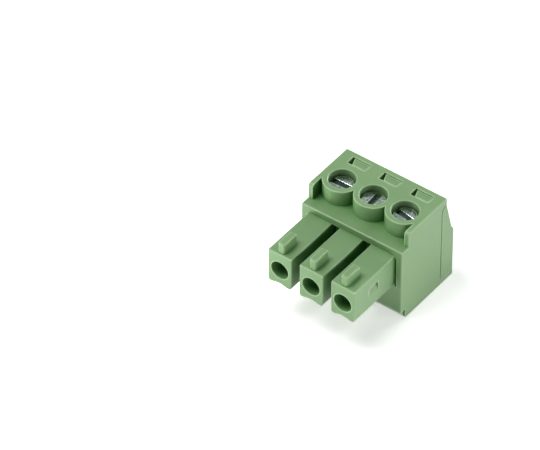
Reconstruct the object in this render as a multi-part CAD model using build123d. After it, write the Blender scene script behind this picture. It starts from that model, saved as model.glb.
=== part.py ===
from build123d import *
import os

# Millimetres. X runs along the row of poles, the plug fingers point to -Y, the wire
# entries to +Y, and the clamp screws are worked from above. Z is 0 under the bottom plate.
# Depths are measured from the body's front plane, which the fingers stand out from;
# the finished pieces are moved so that the origin is in the middle of the footprint.

# Row of poles
pole_count = 3
pole_pitch = 3.81
end_margin = 2.29

# Housing, seen from the end
body_height = 11.1
body_depth = 8.85
ledge_drop = 1.85
ledge_depth = 1.05
top_depth = 7.5
top_plate = 0.8
bottom_plate = 0.7
front_wall = 1.0
cover_lap = 0.81
seam_round = 0.65
lead_in_depth = 0.95
lead_in_height = 1.3
edge_round = 0.12
end_round = 0.12
corner_round = 0.4

# Stepped lower front corners of the end faces
toe_depth = 0.78
toe_height = 1.27
toe_step = 0.2

# Screw wells and the scalloped bosses around them
boss_radius = 2.02
well_radius = 1.4
well_depth = 2.15
well_rim = 0.06
wing_wall = 0.55
deck_thickness = 0.95
deck_hole_clearance = 0.1

# Windows for the cover's snap tabs; the upper ones stand a little to the right of the poles
window_width = 2.15
window_offset = 0.07
window_length = 1.05
top_window_setback = 0.89
bottom_window_setback = 1.77

# Plug fingers
finger_width = 2.86
finger_height = 4.05
finger_drop = 0.75
finger_length = 6.6
finger_root = 0.2
finger_round = 0.4
finger_edge = 0.12
nose_round = 0.14
groove_width = 1.9
groove_rise = 0.24
mouth_radius = 1.05
mouth_rise = 1.95
mouth_depth = 1.5

# Keying rib on each finger
rib_width = 0.8
rib_rise = 1.26
rib_length = 2.07
rib_setback = 0.22
rib_nose_round = 0.2
rib_tail_round = 0.1
rib_bevel = 0.09

# Latch recess in the outer side of each end finger, deepest under its upper edge
latch_setback = 2.4
latch_length = 1.5
latch_rise = 1.75
latch_span = 1.0
latch_deep = 0.45

# Pockets that the gaps between the fingers run on into, and the slits beside the end fingers
pocket_depth = 0.7
relief_width = 0.2
relief_drop = 0.3

# Rear cover
seam_gap = 0.09
rear_setback = 0.05
cover_face_drop = 4.95
cover_step_drop = 4.3
cover_step_setback = 0.4
cover_bevel = 0.06
plug_reach = 1.14
plug_margin = 0.04
plug_clearance = 0.05
plug_overlap = 0.5
entry_width = 2.72
entry_sill = 0.6
entry_lintel = 0.6
throat_land = 0.65
throat_sill = 0.05
throat_lintel = 0.3
tab_side_gap = 0.52
tab_heel_gap = 0.18
tab_gap = 0.1
tab_seat_gap = 0.03
tab_root = 0.5
top_tab_drop = 0.12
bottom_tab_drop = 0.22
bottom_tab_setback = 0.42
core_width = 2.6
core_sill = 0.8
core_roof = 0.8
core_reach = 1.35

# Contact: sheet box in the finger, tail strip that becomes the current bar
box_width = 1.6
box_height = 2.6
box_length = 3.8
box_sheet = 0.2
box_clearance = 0.05
leaf_width = 1.08
leaf_sheet = 0.18
leaf_tip = 0.35
leaf_flare = 0.22
leaf_throat = 1.0
leaf_waist = 2.2
leaf_rise = 0.24
leaf_heel = 0.3
pin_width = 1.0
pin_clearance = 0.02
strip_width = 1.4
strip_sheet = 0.4
strip_overlap = 0.3
strip_gap = 0.1
bar_nest = 0.2
bar_nest_clearance = 0.05
bend_inside = 0.12

# Cage, and the room it rises and falls in
cage_width = 2.8
cage_side = 0.45
cage_floor = 0.45
cage_head = 1.15
cage_round = 0.35
cage_side_gap = 0.1
cage_front_gap = 0.4
cage_rear_gap = 0.25
cage_under_gap = 0.45
cage_rest_gap = 0.05
cage_travel = 2.0
cage_travel_spare = 0.4
grip_count = 3
grip_pitch = 0.8
grip_width = 0.28
grip_deep = 0.1

# Slotted clamp screw
thread_clearance = 0.05
thread_radius = 0.95
head_clearance = 0.2
head_height = 1.36
head_rise = 0.05
head_bevel = 0.1
slot_width = 0.58
slot_deep = 0.65
tip_chamfer = 0.2
tip_gap = 0.02
slot_angles = [2.0, 94.0, -10.0]

# How far cutting shapes run past the faces that they open
overrun = 1.0

# Across the row
width = (pole_count - 1) * pole_pitch + 2 * end_margin
poles = [(i - (pole_count - 1) / 2) * pole_pitch for i in range(pole_count)]
chamber_half = cage_width / 2 + cage_side_gap
plug_half = poles[-1] + chamber_half + plug_margin

# Heights: the decks, the bar and the fingers hang from the top plate
ledge_height = body_height - ledge_drop
top_under = body_height - top_plate
deck_high = body_height - well_depth
deck_low = deck_high - deck_thickness
cage_roof = deck_low - cage_travel_spare - cage_travel - cage_head
bar_top = cage_roof - cage_rest_gap
bar_low = bar_top - strip_sheet
wire_floor = bottom_plate + cage_under_gap + cage_floor
finger_top = ledge_height - finger_drop
finger_low = finger_top - finger_height
mouth_height = finger_low + mouth_rise
cover_face_top = body_height - cover_face_drop
cover_step_height = body_height - cover_step_drop

# Depths: the seam hangs from the top plate's rear edge, the cage stands between the
# contact's drop and the cover, and the screw stands in the middle of the cage
seam_depth = top_depth - cover_lap
cover_seat = seam_depth - plug_reach
cover_front = seam_depth + seam_gap
cover_depth = body_depth - rear_setback
drop_front = front_wall + strip_gap
drop_back = drop_front + strip_sheet
cage_front = drop_back + cage_front_gap
cage_back = cover_seat - cage_rear_gap
screw_depth = (cage_front + cage_back) / 2
top_window_depth = seam_depth - top_window_setback
bottom_window_depth = body_depth - bottom_window_setback
to_origin = Pos(0, (finger_length - body_depth) / 2, 0)


def block(x0, x1, y0, y1, z0, z1):
    return Pos((x0 + x1) / 2, (y0 + y1) / 2, (z0 + z1) / 2) * Box(x1 - x0, y1 - y0, z1 - z0)


def round_corners(face, corners):
    """Rounds the corners of a flat outline that lie nearest to the given points."""
    for u, v, radius in corners:
        corner = face.vertices().sort_by_distance(Vector(u, v, 0))[0]
        face = fillet(corner, radius)
    return face


def drawn_across(points, half_width, corners=()):
    """An outline of (depth, height) points drawn out to both sides of the middle plane."""
    face = round_corners(make_face(Polyline(*points, close=True)), corners)
    return extrude(Plane.YZ * face, half_width, both=True)


def drawn_back(points, depth0, depth1, corners=()):
    """An outline of (across, height) points drawn out along the depth."""
    face = round_corners(make_face(Polyline(*points, close=True)), corners)
    return Pos(0, depth0, 0) * extrude(Plane.XZ * face, -(depth1 - depth0))


def end_edges(solid, half_width):
    """Edges that lie in the two end planes of a piece."""
    return [e for e in solid.edges() if abs(abs(e.center().X) - half_width) < 1e-4]


def body_shell():
    outline = [
        (lead_in_depth, 0),
        (body_depth, 0),
        (body_depth, bottom_plate),
        (seam_depth, bottom_plate),
        (seam_depth, top_under),
        (top_depth, top_under),
        (top_depth, body_height),
        (ledge_depth, body_height),
        (ledge_depth, ledge_height),
        (0, ledge_height),
        (0, lead_in_height),
    ]
    rounded = [
        (seam_depth, top_under, seam_round),
        (ledge_depth, body_height, corner_round),
        (top_depth, body_height, edge_round),
        (body_depth, 0, edge_round),
        (0, ledge_height, edge_round),
    ]
    shell = drawn_across(outline, width / 2, rounded)
    return fillet(end_edges(shell, width / 2), end_round)


def screw_bosses():
    """Everything between the end walls above the ledge, except the scalloped bosses."""
    inner = width / 2 - wing_wall
    opening = block(-inner, inner, -overrun, screw_depth, ledge_height, body_height + overrun)
    for x in poles:
        boss = Pos(x, screw_depth, (ledge_height + body_height) / 2)
        opening -= boss * Cylinder(boss_radius, ledge_drop + 3 * overrun)
    return opening


def screw_well(x):
    axis = Pos(x, screw_depth, 0)
    well = axis * Pos(0, 0, deck_high) * extrude(Circle(well_radius), well_depth + overrun)
    hole_radius = thread_radius + deck_hole_clearance
    hole = axis * Pos(0, 0, deck_low - overrun) * extrude(Circle(hole_radius), 2 * overrun)
    rim = axis * Pos(0, 0, body_height - well_rim / 2)
    return well + hole + rim * Cone(well_radius, well_radius + well_rim, well_rim)


def finger(x):
    """The bar that is common to three outlines, seen from the front, the side and above."""
    half = finger_width / 2
    front = [(-half, finger_low), (half, finger_low), (half, finger_top), (-half, finger_top)]
    front_rounds = [(-half, finger_low, finger_round), (half, finger_low, finger_round)]
    front_rounds += [(-half, finger_top, finger_edge), (half, finger_top, finger_edge)]
    side = [
        (-finger_length, finger_low),
        (finger_root, finger_low),
        (finger_root, finger_top),
        (-finger_length, finger_top),
    ]
    side_rounds = [(-finger_length, finger_low, finger_edge), (-finger_length, finger_top, finger_edge)]
    above = make_face(Polyline(
        (-half, -finger_length),
        (half, -finger_length),
        (half, finger_root),
        (-half, finger_root),
        close=True,
    ))
    noses = [(-half, -finger_length, nose_round), (half, -finger_length, nose_round)]
    bar = drawn_back(front, -finger_length, finger_root, front_rounds)
    bar &= drawn_across(side, half, side_rounds)
    bar &= extrude(round_corners(above, noses), body_height)
    radius = (groove_width ** 2 / 4 + groove_rise ** 2) / (2 * groove_rise)
    scoop = Pos(0, -finger_length / 2, finger_low + groove_rise - radius) * Rot(90, 0, 0)
    bar -= scoop * Cylinder(radius, finger_length)
    return Pos(x, 0, 0) * (bar + keying_rib())


def keying_rib():
    half = rib_width / 2
    nose = -finger_length + rib_setback
    tail = nose + rib_length
    outline = [(-half, nose), (half, nose), (half, tail), (-half, tail)]
    corners = [(u, v, rib_nose_round if v == nose else rib_tail_round) for u, v in outline]
    base = round_corners(make_face(Polyline(*outline, close=True)), corners)
    rib = Pos(0, 0, finger_top - finger_root) * extrude(base, rib_rise + finger_root)
    return chamfer(rib.faces().sort_by(Axis.Z)[-1].edges(), rib_bevel)


def socket_cavity(x):
    half = box_width / 2 + box_clearance
    low = mouth_height - box_height / 2
    high = mouth_height + box_height / 2 + box_clearance
    back = front_wall + box_clearance
    cavity = block(x - half, x + half, mouth_depth - finger_length, back, low, high)
    mouth = Pos(x, mouth_depth - finger_length, mouth_height) * Rot(90, 0, 0)
    return cavity + mouth * extrude(Circle(mouth_radius), mouth_depth + overrun)


def end_details(side):
    """Cuts made at one end of the housing: toe step, latch recess and the slit at the root."""
    outer = width / 2
    inner = poles[-1] + finger_width / 2
    front = latch_setback - finger_length
    low = finger_low + latch_rise
    toe = block(outer - toe_step, outer + overrun, -overrun, toe_depth, -overrun, toe_height)
    ramp = [(inner, low), (inner - latch_deep, low + latch_span), (inner + overrun, low + latch_span),
            (inner + overrun, low)]
    latch = drawn_back(ramp, front, front + latch_length)
    slit = block(inner, inner + relief_width, -overrun, pocket_depth, finger_low, finger_top - relief_drop)
    cut = toe + latch + slit
    return cut if side > 0 else mirror(cut, Plane.YZ)


def make_housing():
    body = body_shell() - screw_bosses()
    body -= block(-plug_half, plug_half, cover_seat, body_depth + overrun, bottom_plate, top_under)
    for x in poles:
        body += finger(x)
    for x in poles[1:]:
        gap_right = x - finger_width / 2
        gap_left = gap_right - (pole_pitch - finger_width)
        body -= block(gap_left, gap_right, -overrun, pocket_depth, finger_low, finger_top)
    for x in poles:
        left = x - chamber_half
        right = x + chamber_half
        body -= block(left, right, front_wall, cover_seat + overrun, bottom_plate, deck_low)
        body -= screw_well(x)
        body -= socket_cavity(x)
        window = block(-window_width / 2, window_width / 2, 0, window_length, -overrun, overrun)
        body -= Pos(x + window_offset, top_window_depth, body_height) * window
        body -= Pos(x, bottom_window_depth, 0) * window
    for side in (-1, 1):
        body -= end_details(side)
    return body


def wire_entry(x):
    """Funnel that narrows from the rear face to the mouth of the cage."""
    def opening(depth, wide, low, high):
        face = Plane.XZ * Pos(0, (low + high) / 2) * Rectangle(wide, high - low)
        return Pos(x, depth, 0) * face
    throat_width = cage_width - 2 * cage_side
    throat_low = wire_floor + throat_sill
    throat_high = bar_low - throat_lintel
    throat_depth = cover_seat + throat_land
    entry_low = bottom_plate + entry_sill
    entry_high = cover_face_top - entry_lintel
    outer = opening(cover_depth + strip_gap, entry_width, entry_low, entry_high)
    inner = opening(throat_depth, throat_width, throat_low, throat_high)
    half = throat_width / 2
    throat = block(x - half, x + half, cover_seat - overrun, throat_depth, throat_low, throat_high)
    return loft([outer, inner]) + throat


def top_tab(x):
    """Tab that fills its window, with a gap on the left that narrows towards the rear."""
    left = -window_width / 2
    right = window_width / 2 - tab_gap
    back = window_length - tab_seat_gap
    plan = Polyline(
        (left + tab_side_gap, tab_gap),
        (right, tab_gap),
        (right, back),
        (left + tab_heel_gap, back),
        close=True,
    )
    tab = extrude(make_face(plan), top_plate + tab_root - top_tab_drop)
    return Pos(x + window_offset, top_window_depth, top_under - tab_root) * tab


def bottom_tab(x):
    """Ramped tab that snaps up into the window in the bottom plate."""
    front = bottom_window_depth + bottom_tab_setback
    back = bottom_window_depth + window_length - tab_seat_gap
    ramp = [
        (front, bottom_plate + tab_root),
        (front, 2 * bottom_tab_drop),
        (back, bottom_tab_drop),
        (back, bottom_plate + tab_root),
    ]
    return Pos(x, 0, 0) * drawn_across(ramp, window_width / 2 - tab_gap)


def make_rear_cover():
    low = bottom_plate + seam_gap
    high = top_under - seam_gap
    outline = [
        (cover_front, low),
        (cover_depth, low),
        (cover_depth, cover_face_top),
        (cover_depth - cover_step_setback, cover_step_height),
        (top_depth, high),
        (cover_front, high),
    ]
    cover = drawn_across(outline, width / 2, [(cover_front, high, seam_round)])
    cover = chamfer(end_edges(cover, width / 2), cover_bevel)
    half = plug_half - plug_clearance
    cover += block(-half, half, cover_seat, cover_front + plug_overlap, low, high)
    core = core_width / 2
    nest = strip_width / 2 + bar_nest_clearance
    nest_back = cover_seat + bar_nest + bar_nest_clearance
    for x in poles:
        cover -= block(x - core, x + core, cover_seat - overrun, cover_seat + core_reach,
                       bar_top + core_sill, top_under - core_roof)
        cover -= wire_entry(x)
        cover -= block(x - nest, x + nest, cover_seat - overrun, nest_back,
                       bar_low - bar_nest_clearance, bar_top + bar_nest_clearance)
        cover += top_tab(x)
        cover += bottom_tab(x)
    return cover


def spring_leaf():
    """Upper leaf, bowed from the box's roof down to the pin and flared at its free end."""
    front = mouth_depth - finger_length
    throat = mouth_height + pin_width / 2 + pin_clearance / 2
    roof = mouth_height + box_height / 2 - box_sheet
    under = [
        (front + leaf_tip, throat + leaf_flare),
        (front + leaf_throat, throat),
        (front + leaf_waist, throat + leaf_rise),
        (front + box_length - leaf_heel, roof),
    ]
    over = [(depth, z + leaf_sheet) for depth, z in reversed(under)]
    bow = Spline(*under)
    back = Spline(*over)
    ends = [Line(under[-1], over[0]), Line(over[-1], under[0])]
    face = make_face([bow, back] + ends)
    return extrude(Plane.YZ * face, leaf_width / 2, both=True)


def make_contact(x):
    front = mouth_depth - finger_length
    half = box_width / 2
    low = mouth_height - box_height / 2
    high = mouth_height + box_height / 2
    box = block(-half, half, front, front + box_length, low, high)
    box -= block(-half + box_sheet, half - box_sheet, front - overrun, front + box_length + overrun,
                 low + box_sheet, high - box_sheet)
    tail_front = front + box_length - strip_overlap
    bar_end = cover_seat + bar_nest
    strip = [
        (tail_front, low),
        (drop_front, low),
        (drop_front, bar_low),
        (bar_end, bar_low),
        (bar_end, bar_top),
        (drop_back, bar_top),
        (drop_back, low + strip_sheet),
        (tail_front, low + strip_sheet),
    ]
    bends = [
        (drop_front, low, bend_inside),
        (drop_back, bar_top, bend_inside),
        (drop_front, bar_low, bend_inside + strip_sheet),
        (drop_back, low + strip_sheet, bend_inside + strip_sheet),
    ]
    tail = drawn_across(strip, strip_width / 2, bends)
    upper = spring_leaf()
    lower = mirror(upper, Plane.XY.offset(mouth_height))
    return Pos(x, 0, 0) * (box + tail + upper + lower)


def make_cage(x):
    """Box cage at its lowest position, with the wire space fully open."""
    half = cage_width / 2
    inner = half - cage_side
    low = wire_floor - cage_floor
    high = cage_roof + cage_head
    section = [(-half, low), (half, low), (half, high), (-half, high)]
    cage = drawn_back(section, cage_front, cage_back, [(u, v, cage_round) for u, v in section])
    cage -= block(-inner, inner, cage_front - overrun, cage_back + overrun, wire_floor, cage_roof)
    bore = Pos(0, screw_depth, (cage_roof + high) / 2)
    cage -= bore * Cylinder(thread_radius + thread_clearance, cage_head + overrun)
    for i in range(grip_count):
        depth = screw_depth + (i - (grip_count - 1) / 2) * grip_pitch
        cage -= block(-inner, inner, depth - grip_width / 2, depth + grip_width / 2,
                      wire_floor - grip_deep, wire_floor + grip_deep)
    return Pos(x, 0, 0) * cage


def make_screw(x, slot_angle):
    head_low = deck_high + head_rise
    head_top = head_low + head_height
    head_radius = well_radius - head_clearance
    tip = bar_top + tip_gap
    outline = [
        (0, tip),
        (thread_radius - tip_chamfer, tip),
        (thread_radius, tip + tip_chamfer),
        (thread_radius, head_low),
        (head_radius, head_low),
        (head_radius, head_top - head_bevel),
        (head_radius - head_bevel, head_top),
        (0, head_top),
    ]
    section = make_face(Polyline(*outline, close=True))
    screw = revolve(Plane.XZ * section, Axis.Z)
    slot = Pos(0, 0, head_top) * Box(3 * head_radius, slot_width, 2 * slot_deep)
    screw -= Rot(0, 0, slot_angle) * slot
    return Pos(x, screw_depth, 0) * screw


os.makedirs("parts", exist_ok=True)
nodes = {"housing": make_housing(), "rear_cover": make_rear_cover()}
for i, x in enumerate(poles):
    nodes[f"screw_{i + 1}"] = make_screw(x, slot_angles[i])
    nodes[f"cage_{i + 1}"] = make_cage(x)
    nodes[f"contact_{i + 1}"] = make_contact(x)
for name, shape in nodes.items():
    export_step(to_origin * shape, f"parts/{name}.step")
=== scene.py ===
import math

import bmesh
import bpy
from mathutils import Matrix, Vector


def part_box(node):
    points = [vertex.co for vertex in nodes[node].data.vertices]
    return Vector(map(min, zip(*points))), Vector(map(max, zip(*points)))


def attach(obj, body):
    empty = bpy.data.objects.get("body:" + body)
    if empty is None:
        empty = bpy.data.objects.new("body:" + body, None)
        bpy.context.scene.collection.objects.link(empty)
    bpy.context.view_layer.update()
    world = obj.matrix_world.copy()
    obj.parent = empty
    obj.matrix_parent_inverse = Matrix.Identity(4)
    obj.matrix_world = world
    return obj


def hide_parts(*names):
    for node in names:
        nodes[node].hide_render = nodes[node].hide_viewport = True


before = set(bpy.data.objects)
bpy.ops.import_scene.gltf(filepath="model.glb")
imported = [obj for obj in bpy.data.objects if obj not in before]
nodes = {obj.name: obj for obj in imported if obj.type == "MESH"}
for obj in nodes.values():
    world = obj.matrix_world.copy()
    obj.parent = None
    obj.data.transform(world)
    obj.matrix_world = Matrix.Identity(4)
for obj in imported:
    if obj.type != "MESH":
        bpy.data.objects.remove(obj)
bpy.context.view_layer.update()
scene = bpy.context.scene

MM = 0.001

# An ISO metric thread, as shares of its pitch
THREAD_DEPTH_SHARE = 0.6134
CREST_FLAT = 1 / 8
ROOT_FLAT = 1 / 4

# Sizes of the clamp screws that a box can't give, in metres
SLOT_WIDTH = 0.58 * MM
SLOT_DEPTH = 0.65 * MM
HEAD_HEIGHT = 1.36 * MM
HEAD_ROUND = 0.1 * MM
SLOT_ROUND = 0.04 * MM
TIP_CHAMFER = 0.2 * MM
THREAD_RADIUS = 0.95 * MM
THREAD_PITCH = 0.4 * MM
THREAD_DEPTH = THREAD_DEPTH_SHARE * THREAD_PITCH
THREAD_RUNOUT = 0.3 * MM

# How far each screw's slot is turned from the row's direction, in degrees
SLOT_TURNS = {"screw_1": 2.0, "screw_2": 94.0, "screw_3": -10.0}

# Facets of the clamp screws
ARC_STEPS = 34
SLOT_STEPS = 2
LEVELS_PER_TURN = 12
HEAD_SEGMENTS = 4
LIP_SEGMENTS = 2
SMOOTH_BELOW = math.radians(35)
SAME_PLACE = 0.0001 * MM

# Values of a noise or of an occlusion at which a mask is empty and full
SOFT_CLOUDS = (0.3, 0.7)
PATCHES = (0.35, 0.65)
FINE_SCRATCHES = (0.6, 0.72)
SHELTERED = (0.72, 0.22)

PATCHES_PER_METRE = 2500.0
RINGS_PER_METRE = 16000.0
OCCLUSION_SAMPLES = 8

# Relief of a plated face, against a height of 1 for its mottle
SCRATCH_RELIEF = -0.4
RING_RELIEF = 1.2

# Scales along X, Y and Z; a scratch is drawn out along the axis with the small one
HAIRLINE_SQUEEZES = ((1.0, 0.08, 0.3), (0.1, 1.0, 0.3))

# How much rougher the dull parts of a plating are, and how much smoother the bright ones
DULL_ROUGHER = 0.08
BRIGHT_SMOOTHER = 0.06

# The studio, in metres and degrees
FLOOR_HALF = 3.0
FLOOR_TOP = -0.02 * MM
LAMP_TARGET = Vector((0, -0.001, 0.005))
LAMP_DISTANCE = 0.5
LAMP_SIZE = 0.25
CARD_SIZE = 0.05
CARD_HEIGHT = 0.4 * MM
CAMERA_PLACE = (0.196287, -0.274055, 0.322005)
CAMERA_AZIMUTH = 37.08
CAMERA_ELEVATION = 42.9
CAMERA_LENS = 313.6


# Node helpers

def new_group(name, inputs, outputs):
    group = bpy.data.node_groups.new(name, "ShaderNodeTree")
    for label, kind, value in inputs:
        socket = group.interface.new_socket(label, in_out="INPUT", socket_type=kind)
        socket.default_value = value
    for label, kind in outputs:
        group.interface.new_socket(label, in_out="OUTPUT", socket_type=kind)
    entry = group.nodes.new("NodeGroupInput").outputs
    leave = group.nodes.new("NodeGroupOutput").inputs
    return group, entry, leave


def plug(tree, socket, value):
    """Sets a socket to a plain value, or links it to the output that is given."""
    if isinstance(value, bpy.types.NodeSocket):
        tree.links.new(value, socket)
    elif isinstance(value, tuple) and len(value) == 3 and socket.type == "RGBA":
        socket.default_value = (*value, 1.0)
    else:
        socket.default_value = value


def fed_by(socket):
    """The output that a socket is linked to so far."""
    return socket.links[0].from_socket


def calc(tree, operation, *values, clamp=False):
    node = tree.nodes.new("ShaderNodeMath")
    node.operation = operation
    node.use_clamp = clamp
    for socket, value in zip(node.inputs, values):
        plug(tree, socket, value)
    return node.outputs[0]


def vector_calc(tree, operation, first, second=None, scale=None):
    node = tree.nodes.new("ShaderNodeVectorMath")
    node.operation = operation
    plug(tree, node.inputs[0], first)
    if second is not None:
        plug(tree, node.inputs[1], second)
    if scale is not None:
        plug(tree, node.inputs["Scale"], scale)
    return node.outputs


def spread(tree, value, low, high, to_low=0.0, to_high=1.0):
    """Maps a value from one range to another and clamps it there."""
    node = tree.nodes.new("ShaderNodeMapRange")
    for socket, number in zip(node.inputs, (value, low, high, to_low, to_high)):
        plug(tree, socket, number)
    return node.outputs[0]


def object_coords(tree):
    return tree.nodes.new("ShaderNodeTexCoord").outputs["Object"]


def noise(tree, vector, scale, detail=2.0, rough=0.5):
    node = tree.nodes.new("ShaderNodeTexNoise")
    values = {"Vector": vector, "Scale": scale, "Detail": detail, "Roughness": rough}
    for label, value in values.items():
        plug(tree, node.inputs[label], value)
    return node.outputs["Fac"]


def occlusion(tree, reach, inside=False):
    """How open a point is within reach, as far as its own piece goes: 1 is fully open."""
    node = tree.nodes.new("ShaderNodeAmbientOcclusion")
    node.inside = inside
    node.only_local = True
    node.samples = OCCLUSION_SAMPLES
    plug(tree, node.inputs["Distance"], reach)
    return node.outputs["AO"]


def mix_colour(tree, factor, below, above):
    """Mixes two colours; the node repeats its sockets' names, so they go by number."""
    node = tree.nodes.new("ShaderNodeMix")
    node.data_type = "RGBA"
    for number, value in ((0, factor), (6, below), (7, above)):
        plug(tree, node.inputs[number], value)
    return node.outputs[2]


def tint(tree, mask, below, above, strength):
    """Lays one colour over another where the mask is full, as strongly as given."""
    return mix_colour(tree, calc(tree, "MULTIPLY", mask, strength), below, above)


def bump(tree, height, distance, strength):
    node = tree.nodes.new("ShaderNodeBump")
    node.inputs["Strength"].default_value = strength
    node.inputs["Distance"].default_value = distance
    plug(tree, node.inputs["Height"], height)
    return node.outputs["Normal"]


def place(tree, group, **values):
    """Puts a group into a tree; a value's name is its socket's, with _ for each space."""
    node = tree.nodes.new("ShaderNodeGroup")
    node.node_tree = group
    for label, value in values.items():
        plug(tree, node.inputs[label.replace("_", " ")], value)
    return node.outputs


# Effects that several finishes use

def mould_skin_group():
    """Fine eroded grain of a mould, with broad clouds of slightly different shade."""
    group, entry, leave = new_group(
        "mould_skin",
        [
            ("Grain per metre", "NodeSocketFloat", 14000.0),
            ("Cloud per metre", "NodeSocketFloat", 500.0),
        ],
        [("Height", "NodeSocketFloat"), ("Cloud", "NodeSocketFloat")],
    )
    where = object_coords(group)
    grain = noise(group, where, entry["Grain per metre"], rough=0.6)
    cloud = noise(group, where, entry["Cloud per metre"], detail=3.0, rough=0.55)
    plug(group, leave["Height"], grain)
    plug(group, leave["Cloud"], spread(group, cloud, *SOFT_CLOUDS))
    return group


def painted_highlight_group():
    """Mask of the narrow band along outward corners, broken up by a little noise, where a
    painted highlight is laid into the colour.
    """
    group, entry, leave = new_group(
        "painted_highlight_band",
        [
            ("Width", "NodeSocketFloat", 0.1 * MM),
            ("Gain", "NodeSocketFloat", 2.0),
            ("Breakup", "NodeSocketFloat", 0.3),
        ],
        [("Edge", "NodeSocketFloat")],
    )
    corner = calc(group, "SUBTRACT", 1.0, occlusion(group, entry["Width"], inside=True))
    mask = calc(group, "MULTIPLY", corner, entry["Gain"], clamp=True)
    patchy = spread(group, noise(group, object_coords(group), PATCHES_PER_METRE), *PATCHES)
    keep = calc(group, "SUBTRACT", 1.0, calc(group, "MULTIPLY", patchy, entry["Breakup"]))
    plug(group, leave["Edge"], calc(group, "MULTIPLY", mask, keep))
    return group


def painted_shade_group():
    """Mask of slots, mouths and inside corners from the piece's own occlusion, where shade is
    painted into the colour.
    """
    group, entry, leave = new_group(
        "painted_shade", [("Reach", "NodeSocketFloat", 1.5 * MM)], [("Depth", "NodeSocketFloat")]
    )
    plug(group, leave["Depth"], spread(group, occlusion(group, entry["Reach"]), *SHELTERED))
    return group


def plating_group():
    """Crystal mottle, hairline scratches in two directions, and the relief of both."""
    group, entry, leave = new_group(
        "plating",
        [
            ("Mottle per metre", "NodeSocketFloat", 4000.0),
            ("Hairlines per metre", "NodeSocketFloat", 9000.0),
        ],
        [
            ("Mottle", "NodeSocketFloat"),
            ("Hairline", "NodeSocketFloat"),
            ("Height", "NodeSocketFloat"),
        ],
    )
    where = object_coords(group)
    crystals = noise(group, where, entry["Mottle per metre"], detail=3.0, rough=0.6)
    mottle = spread(group, crystals, *SOFT_CLOUDS)
    lines = []
    for squeeze in HAIRLINE_SQUEEZES:
        drawn = vector_calc(group, "MULTIPLY", where, squeeze)["Vector"]
        fine = noise(group, drawn, entry["Hairlines per metre"], detail=1.0)
        lines.append(spread(group, fine, *FINE_SCRATCHES))
    hairline = calc(group, "MAXIMUM", *lines)
    plug(group, leave["Mottle"], mottle)
    plug(group, leave["Hairline"], hairline)
    plug(group, leave["Height"], calc(group, "MULTIPLY_ADD", hairline, SCRATCH_RELIEF, mottle))
    return group


mould_skin = mould_skin_group()
painted_highlight_band = painted_highlight_group()
painted_shade = painted_shade_group()
plating = plating_group()


# Finishes

def new_material(name, roughness, metallic=0.0):
    material = bpy.data.materials.new(name)
    material.use_nodes = True
    tree = material.node_tree
    shader = tree.nodes["Principled BSDF"]
    shader.inputs["Roughness"].default_value = roughness
    shader.inputs["Metallic"].default_value = metallic
    return material, tree, shader.inputs


def green_nylon():
    """Moulded nylon, with painted shade in its hollows and a painted highlight along its outward
    corners.
    """
    cloud, clear = (0.160, 0.296, 0.122), (0.182, 0.326, 0.140)
    # Colours of the painted shade in hollows and of the painted highlight along outward corners
    painted_shade_colour, painted_highlight_colour = (0.026, 0.15, 0.016), (0.46, 0.64, 0.38)
    material, tree, shader = new_material("green_nylon", roughness=0.45)
    skin = place(tree, mould_skin)
    painted_highlight_mask = place(tree, painted_highlight_band, Width=0.16 * MM, Gain=2.7)["Edge"]
    painted_shade_mask = place(tree, painted_shade, Reach=2.6 * MM)["Depth"]
    colour = mix_colour(tree, skin["Cloud"], cloud, clear)
    # Painted shade where the piece shelters itself
    colour = tint(tree, painted_shade_mask, colour, painted_shade_colour, strength=0.92)
    # Painted highlight along the outward corners
    colour = tint(tree, painted_highlight_mask, colour, painted_highlight_colour, strength=0.8)
    plug(tree, shader["Base Color"], colour)
    shader["IOR"].default_value = 1.53
    shader["Specular IOR Level"].default_value = 0.6
    roughness = spread(tree, skin["Cloud"], 0.0, 1.0, to_low=0.36, to_high=0.47)
    plug(tree, shader["Roughness"], roughness)
    grain = bump(tree, skin["Height"], distance=0.008 * MM, strength=0.6)
    plug(tree, shader["Normal"], grain)
    return material


def plated(name, dull, bright, roughness, **grain):
    """A plated metal that runs from dull to bright, a little rougher where it is dull."""
    material, tree, shader = new_material(name, roughness, metallic=1.0)
    metal = place(tree, plating, **grain)
    colour = mix_colour(tree, metal["Mottle"], dull, bright)
    colour = tint(tree, metal["Hairline"], colour, bright, strength=0.5)
    plug(tree, shader["Base Color"], colour)
    rough, smooth = roughness + DULL_ROUGHER, roughness - BRIGHT_SMOOTHER
    worn = spread(tree, metal["Mottle"], 0.0, 1.0, to_low=rough, to_high=smooth)
    plug(tree, shader["Roughness"], worn)
    return material, tree, shader, metal


def nickel_plate():
    dull, bright = (0.50, 0.48, 0.43), (0.66, 0.64, 0.58)
    material, tree, shader, metal = plated(
        "nickel_plate", dull, bright, roughness=0.34, Mottle_per_metre=2500.0
    )
    relief = bump(tree, metal["Height"], distance=0.006 * MM, strength=0.4)
    plug(tree, shader["Normal"], relief)
    return material


def matt_tin():
    dull, bright = (0.52, 0.52, 0.50), (0.68, 0.67, 0.64)
    material, tree, shader, metal = plated(
        "matt_tin", dull, bright, roughness=0.48, Mottle_per_metre=7000.0
    )
    relief = bump(tree, metal["Height"], distance=0.008 * MM, strength=0.5)
    plug(tree, shader["Normal"], relief)
    return material


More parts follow.
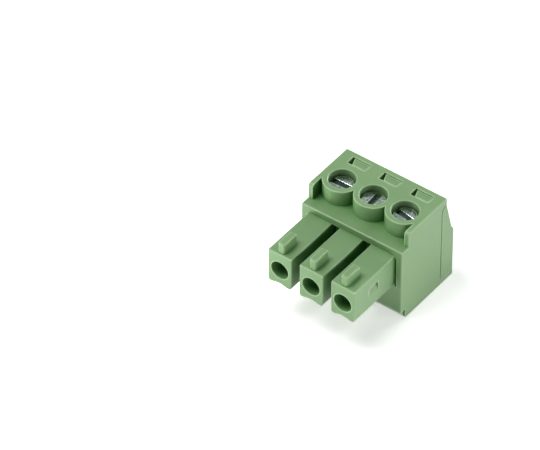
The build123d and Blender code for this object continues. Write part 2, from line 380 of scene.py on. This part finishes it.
def bright_zinc():
    """Zinc over turned steel: rings round the axis, painted highlights along the slot's lips and
    outward corners, and painted shade in the slot.
    """
    # Darker and greener than bare zinc: a painted reflection of the dark green walls round the
    # heads
    dull, bright = (0.07, 0.11, 0.09), (0.30, 0.39, 0.34)
    # Bright worn scratches, then the painted shade of the slot and the painted highlight of the
    # corners
    scratched, painted_slot_shade, painted_highlight_colour = (0.84, 0.88, 0.86), (0.17, 0.26, 0.21), (0.88, 0.92, 0.90)
    material, tree, shader, metal = plated(
        "bright_zinc", dull, bright, roughness=0.15, Hairlines_per_metre=15000.0
    )
    from_axis = tree.nodes.new("ShaderNodeAttribute")
    from_axis.attribute_name = "from_axis"
    across = tree.nodes.new("ShaderNodeCombineXYZ")
    plug(tree, across.inputs["X"], from_axis.outputs["Fac"])
    rings = noise(tree, across.outputs["Vector"], RINGS_PER_METRE)
    painted_highlight_mask = place(tree, painted_highlight_band, Width=0.13 * MM, Gain=2.2, Breakup=0.5)["Edge"]
    painted_shade_mask = place(tree, painted_shade, Reach=0.9 * MM)["Depth"]
    # Painted shade in the slot, from the head's own occlusion; the slot is also made rougher
    slot = calc(tree, "MULTIPLY", painted_shade_mask, 1.8, clamp=True)
    colour = fed_by(shader["Base Color"])
    colour = tint(tree, metal["Hairline"], colour, scratched, strength=0.55)
    colour = mix_colour(tree, slot, colour, painted_slot_shade)
    # Painted highlight along the outward corners and slot lips
    plug(tree, shader["Base Color"], mix_colour(tree, painted_highlight_mask, colour, painted_highlight_colour))
    rougher_in_slot = calc(tree, "MULTIPLY", slot, 0.7)
    roughness = calc(tree, "MAXIMUM", fed_by(shader["Roughness"]), rougher_in_slot)
    plug(tree, shader["Roughness"], roughness)
    turned = calc(tree, "MULTIPLY_ADD", rings, RING_RELIEF, metal["Height"])
    plug(tree, shader["Normal"], bump(tree, turned, distance=0.012 * MM, strength=0.7))
    return material


nylon = green_nylon()
zinc = bright_zinc()
finishes = {
    "housing": nylon,
    "rear": nylon,
    "screw": zinc,
    "cage": nickel_plate(),
    "contact": matt_tin(),
}
for name, piece in nodes.items():
    piece.data.materials.clear()
    piece.data.materials.append(finishes[name.split("_")[0]])


# Clamp screws: a turned and slotted blank, then the thread rolled on by a node tree

def rim_angles(half_slot, radius):
    """Angles round the head, with a point at each corner of the slot."""
    corner = math.asin(half_slot / radius)
    gap = 2 * corner
    arc = math.pi - gap
    angles = []
    for start in (corner, corner + math.pi):
        angles += [start + arc * i / ARC_STEPS for i in range(ARC_STEPS)]
        angles += [start + math.pi - gap + gap * i / SLOT_STEPS for i in range(SLOT_STEPS)]
    return angles


def bridge(bm, lower, upper):
    for i in range(len(lower)):
        bm.faces.new((lower[i - 1], lower[i], upper[i], upper[i - 1]))


def half_moon(bm, foot, top):
    """One of the two blocks beside the slot; returns the edges along its round rim."""
    crown = [bm.verts.new((v.co.x, v.co.y, top)) for v in foot]
    for i in range(len(foot) - 1):
        bm.faces.new((foot[i], foot[i + 1], crown[i + 1], crown[i]))
    bm.faces.new((foot[-1], foot[0], crown[0], crown[-1]))
    bm.faces.new(crown)
    return [bm.edges.get(pair) for pair in zip(crown, crown[1:])]


def slot_lips(bm, half_slot, slot_floor):
    """Edges of the slot's two walls, apart from those along its floor."""
    def on_wall(v):
        beside = abs(abs(v.co.y) - half_slot) < SAME_PLACE
        return beside and v.co.z > slot_floor - SAME_PLACE

    def above_floor(v):
        return v.co.z > slot_floor + SAME_PLACE

    return [e for e in bm.edges if all(map(on_wall, e.verts)) and any(map(above_floor, e.verts))]


def screw_blank(low, high):
    """Slotted cheese head on a plain shank, standing on the Z axis with its slot along X."""
    radius = (high.x - low.x) / 2
    half_slot = SLOT_WIDTH / 2
    under_head = high.z - HEAD_HEIGHT
    slot_floor = high.z - SLOT_DEPTH
    shank_low = low.z + TIP_CHAMFER
    shank_length = under_head - shank_low
    angles = rim_angles(half_slot, radius)
    bm = bmesh.new()

    def ring(r, z):
        return [bm.verts.new((r * math.cos(a), r * math.sin(a), z)) for a in angles]

    levels = math.ceil(shank_length / THREAD_PITCH * LEVELS_PER_TURN)
    rings = [ring(THREAD_RADIUS - TIP_CHAMFER, low.z)]
    rings += [ring(THREAD_RADIUS - TIP_CHAMFER / 2, low.z + TIP_CHAMFER / 2)]
    for i in range(levels + 1):
        rings += [ring(THREAD_RADIUS, shank_low + shank_length * i / levels)]
    rings += [ring(radius, under_head), ring(radius, slot_floor)]
    for lower, upper in zip(rings, rings[1:]):
        bridge(bm, lower, upper)
    bm.faces.new(reversed(rings[0]))

    # The slot's floor, and the half of the head on either side of it
    rim = rings[-1] * 2
    half_turn = ARC_STEPS + SLOT_STEPS
    bm.faces.new(rim[ARC_STEPS:half_turn + 1] + rim[half_turn + ARC_STEPS:2 * half_turn + 1])
    round_rim = []
    for start in (0, half_turn):
        round_rim += half_moon(bm, rim[start:start + ARC_STEPS + 1], high.z)

    def round_off(edges, offset, segments):
        bmesh.ops.bevel(
            bm, geom=edges, offset=offset, segments=segments, profile=0.5, affect="EDGES"
        )

    round_off(round_rim, HEAD_ROUND, HEAD_SEGMENTS)
    round_off(slot_lips(bm, half_slot, slot_floor), SLOT_ROUND, LIP_SEGMENTS)
    bmesh.ops.recalc_face_normals(bm, faces=bm.faces)
    return bm


def rolled_thread_tree():
    """Presses a helical groove into the shank and keeps each point's distance from the axis."""
    tree = bpy.data.node_groups.new("rolled_thread", "GeometryNodeTree")
    tree.interface.new_socket("Blank", in_out="INPUT", socket_type="NodeSocketGeometry")
    tree.interface.new_socket("Axis", in_out="INPUT", socket_type="NodeSocketVector")
    for label in ("Pitch", "Depth", "Crest radius", "Under head", "Runout"):
        tree.interface.new_socket(label, in_out="INPUT", socket_type="NodeSocketFloat")
    tree.interface.new_socket("Finish", in_out="INPUT", socket_type="NodeSocketMaterial")
    tree.interface.new_socket("Screw", in_out="OUTPUT", socket_type="NodeSocketGeometry")
    entry = tree.nodes.new("NodeGroupInput").outputs

    position = tree.nodes.new("GeometryNodeInputPosition").outputs[0]
    from_axis = vector_calc(tree, "SUBTRACT", position, entry["Axis"])["Vector"]
    flat = vector_calc(tree, "MULTIPLY", from_axis, (1.0, 1.0, 0.0))["Vector"]
    radius = vector_calc(tree, "LENGTH", flat)["Value"]
    split = tree.nodes.new("ShaderNodeSeparateXYZ")
    plug(tree, split.inputs[0], from_axis)
    x, y, z = split.outputs

    # Flank is 0 along the groove's root and 1 along the crest
    turns = calc(tree, "DIVIDE", z, entry["Pitch"])
    around = calc(tree, "DIVIDE", calc(tree, "ARCTAN2", y, x), 2 * math.pi)
    phase = calc(tree, "FRACT", calc(tree, "SUBTRACT", turns, around))
    flank = calc(tree, "ABSOLUTE", calc(tree, "MULTIPLY_ADD", phase, 2.0, -1.0))
    groove = spread(tree, flank, 1 - CREST_FLAT, ROOT_FLAT)
    run_in = calc(tree, "SUBTRACT", entry["Under head"], entry["Runout"])
    groove = calc(tree, "MULTIPLY", groove, spread(tree, z, entry["Under head"], run_in))
    pressed = calc(tree, "MULTIPLY", groove, entry["Depth"])
    root = calc(tree, "SUBTRACT", entry["Crest radius"], pressed)
    shrink = calc(tree, "DIVIDE", calc(tree, "MINIMUM", radius, root), radius)
    inward = vector_calc(tree, "SCALE", flat, scale=calc(tree, "SUBTRACT", shrink, 1.0))

    press = tree.nodes.new("GeometryNodeSetPosition")
    plug(tree, press.inputs["Geometry"], entry["Blank"])
    plug(tree, press.inputs["Selection"], calc(tree, "LESS_THAN", z, entry["Under head"]))
    plug(tree, press.inputs["Offset"], inward["Vector"])
    keep = tree.nodes.new("GeometryNodeStoreNamedAttribute")
    keep.inputs["Name"].default_value = "from_axis"
    plug(tree, keep.inputs["Geometry"], press.outputs["Geometry"])
    plug(tree, keep.inputs["Value"], radius)
    realize = tree.nodes.new("GeometryNodeRealizeInstances")
    plug(tree, realize.inputs["Geometry"], keep.outputs["Geometry"])
    finish = tree.nodes.new("GeometryNodeSetMaterial")
    plug(tree, finish.inputs["Geometry"], realize.outputs["Geometry"])
    plug(tree, finish.inputs["Material"], entry["Finish"])
    plug(tree, tree.nodes.new("NodeGroupOutput").inputs["Screw"], finish.outputs["Geometry"])
    return tree


def clamp_screw(node_name, turn, tree, finish):
    low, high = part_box(node_name)
    axis = (low + high) / 2
    bm = screw_blank(low, high)
    turned = Matrix.Rotation(math.radians(turn), 3, "Z")
    bmesh.ops.rotate(bm, verts=bm.verts, cent=(0, 0, 0), matrix=turned)
    bmesh.ops.translate(bm, verts=bm.verts, vec=(axis.x, axis.y, 0))
    mesh = bpy.data.meshes.new("clamp_" + node_name)
    bm.to_mesh(mesh)
    bm.free()
    screw = bpy.data.objects.new("clamp_" + node_name, mesh)
    scene.collection.objects.link(screw)
    modifier = screw.modifiers.new("rolled_thread", "NODES")
    modifier.node_group = tree
    values = {
        "Axis": (axis.x, axis.y, 0.0),
        "Pitch": THREAD_PITCH,
        "Depth": THREAD_DEPTH,
        "Crest radius": THREAD_RADIUS,
        "Under head": high.z - HEAD_HEIGHT,
        "Runout": THREAD_RUNOUT,
        "Finish": finish,
    }
    for item in tree.interface.items_tree:
        if item.in_out == "INPUT" and item.name in values:
            modifier[item.identifier] = values[item.name]
    depsgraph = bpy.context.evaluated_depsgraph_get()
    rolled = bpy.data.meshes.new_from_object(
        screw.evaluated_get(depsgraph), preserve_all_data_layers=True, depsgraph=depsgraph
    )
    screw.modifiers.clear()
    screw.data = rolled
    rolled.shade_smooth()
    rolled.set_sharp_from_angle(angle=SMOOTH_BELOW)
    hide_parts(node_name)
    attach(screw, node_name)


rolled_thread = rolled_thread_tree()
for node_name, turn in SLOT_TURNS.items():
    clamp_screw(node_name, turn, rolled_thread, zinc)


# Floor, lamps and camera

def seen_rays(tree):
    """1 for what the camera sees, straight on, mirrored or through something clear."""
    ray = tree.nodes.new("ShaderNodeLightPath").outputs
    mirrored = calc(tree, "MAXIMUM", ray["Is Glossy Ray"], ray["Is Transmission Ray"])
    return calc(tree, "MAXIMUM", ray["Is Camera Ray"], mirrored)


def make_floor():
    """A pale sheet just below the underside, so that the two never share a plane."""
    mesh = bpy.data.meshes.new("floor")
    corners = [(-1, -1), (1, -1), (1, 1), (-1, 1)]
    mesh.from_pydata(
        [(x * FLOOR_HALF, y * FLOOR_HALF, FLOOR_TOP) for x, y in corners], [], [(0, 1, 2, 3)]
    )
    floor = bpy.data.objects.new("floor", mesh)
    scene.collection.objects.link(floor)
    material, tree, shader = new_material("pale_floor", roughness=0.9)
    shader["Base Color"].default_value = (0.9, 0.9, 0.9, 1.0)
    shader["Emission Color"].default_value = (1.0, 1.0, 1.0, 1.0)
    plug(tree, shader["Emission Strength"], calc(tree, "MULTIPLY", seen_rays(tree), 0.5))
    mesh.materials.append(material)


def area_lamp(name, size, power, location, rotation):
    data = bpy.data.lights.new(name, "AREA")
    data.size = size
    data.energy = power
    lamp = bpy.data.objects.new(name, data)
    lamp.location = location
    lamp.rotation_euler = rotation
    scene.collection.objects.link(lamp)
    return lamp


def soft_box(name, azimuth, elevation, power):
    """A square lamp aimed at the part; azimuth 0 is the side the fingers point to."""
    a, e = math.radians(azimuth), math.radians(elevation)
    away = Vector((math.sin(a) * math.cos(e), -math.cos(a) * math.cos(e), math.sin(e)))
    facing = (-away).to_track_quat("-Z", "Y").to_euler()
    area_lamp(name, LAMP_SIZE, power, LAMP_TARGET + away * LAMP_DISTANCE, facing)


def table_card(name, x, y, power):
    """A lit card that lies on the floor beside the part and brightens its walls from below."""
    face_up = (math.pi, 0, 0)
    card = area_lamp(name, CARD_SIZE, power, (x, y, CARD_HEIGHT), face_up)
    card.visible_camera = False
    card.visible_glossy = False


make_floor()
soft_box("key_low", azimuth=-50, elevation=12, power=0.8)
soft_box("key_high", azimuth=-50, elevation=68, power=1.95)
soft_box("right", azimuth=110, elevation=12, power=1.2)
soft_box("rear", azimuth=170, elevation=12, power=1.95)
table_card("card_left", x=-0.037, y=-0.037, power=0.055)
table_card("card_right", x=0.037, y=-0.037, power=0.018)

world = bpy.data.worlds.new("studio")
scene.world = world
world.use_nodes = True
background = world.node_tree.nodes["Background"].inputs
background["Color"].default_value = (1.0, 1.0, 1.0, 1.0)
plug(world.node_tree, background["Strength"], seen_rays(world.node_tree))

camera_data = bpy.data.cameras.new("camera")
camera_data.sensor_width = 36.0
camera_data.lens = CAMERA_LENS
camera_data.clip_start = 0.01
camera_data.clip_end = 20.0
camera = bpy.data.objects.new("camera", camera_data)
camera.location = CAMERA_PLACE
camera.rotation_euler = (math.radians(90 - CAMERA_ELEVATION), 0, math.radians(CAMERA_AZIMUTH))
scene.collection.objects.link(camera)
scene.camera = camera

scene.view_settings.view_transform = "Standard"
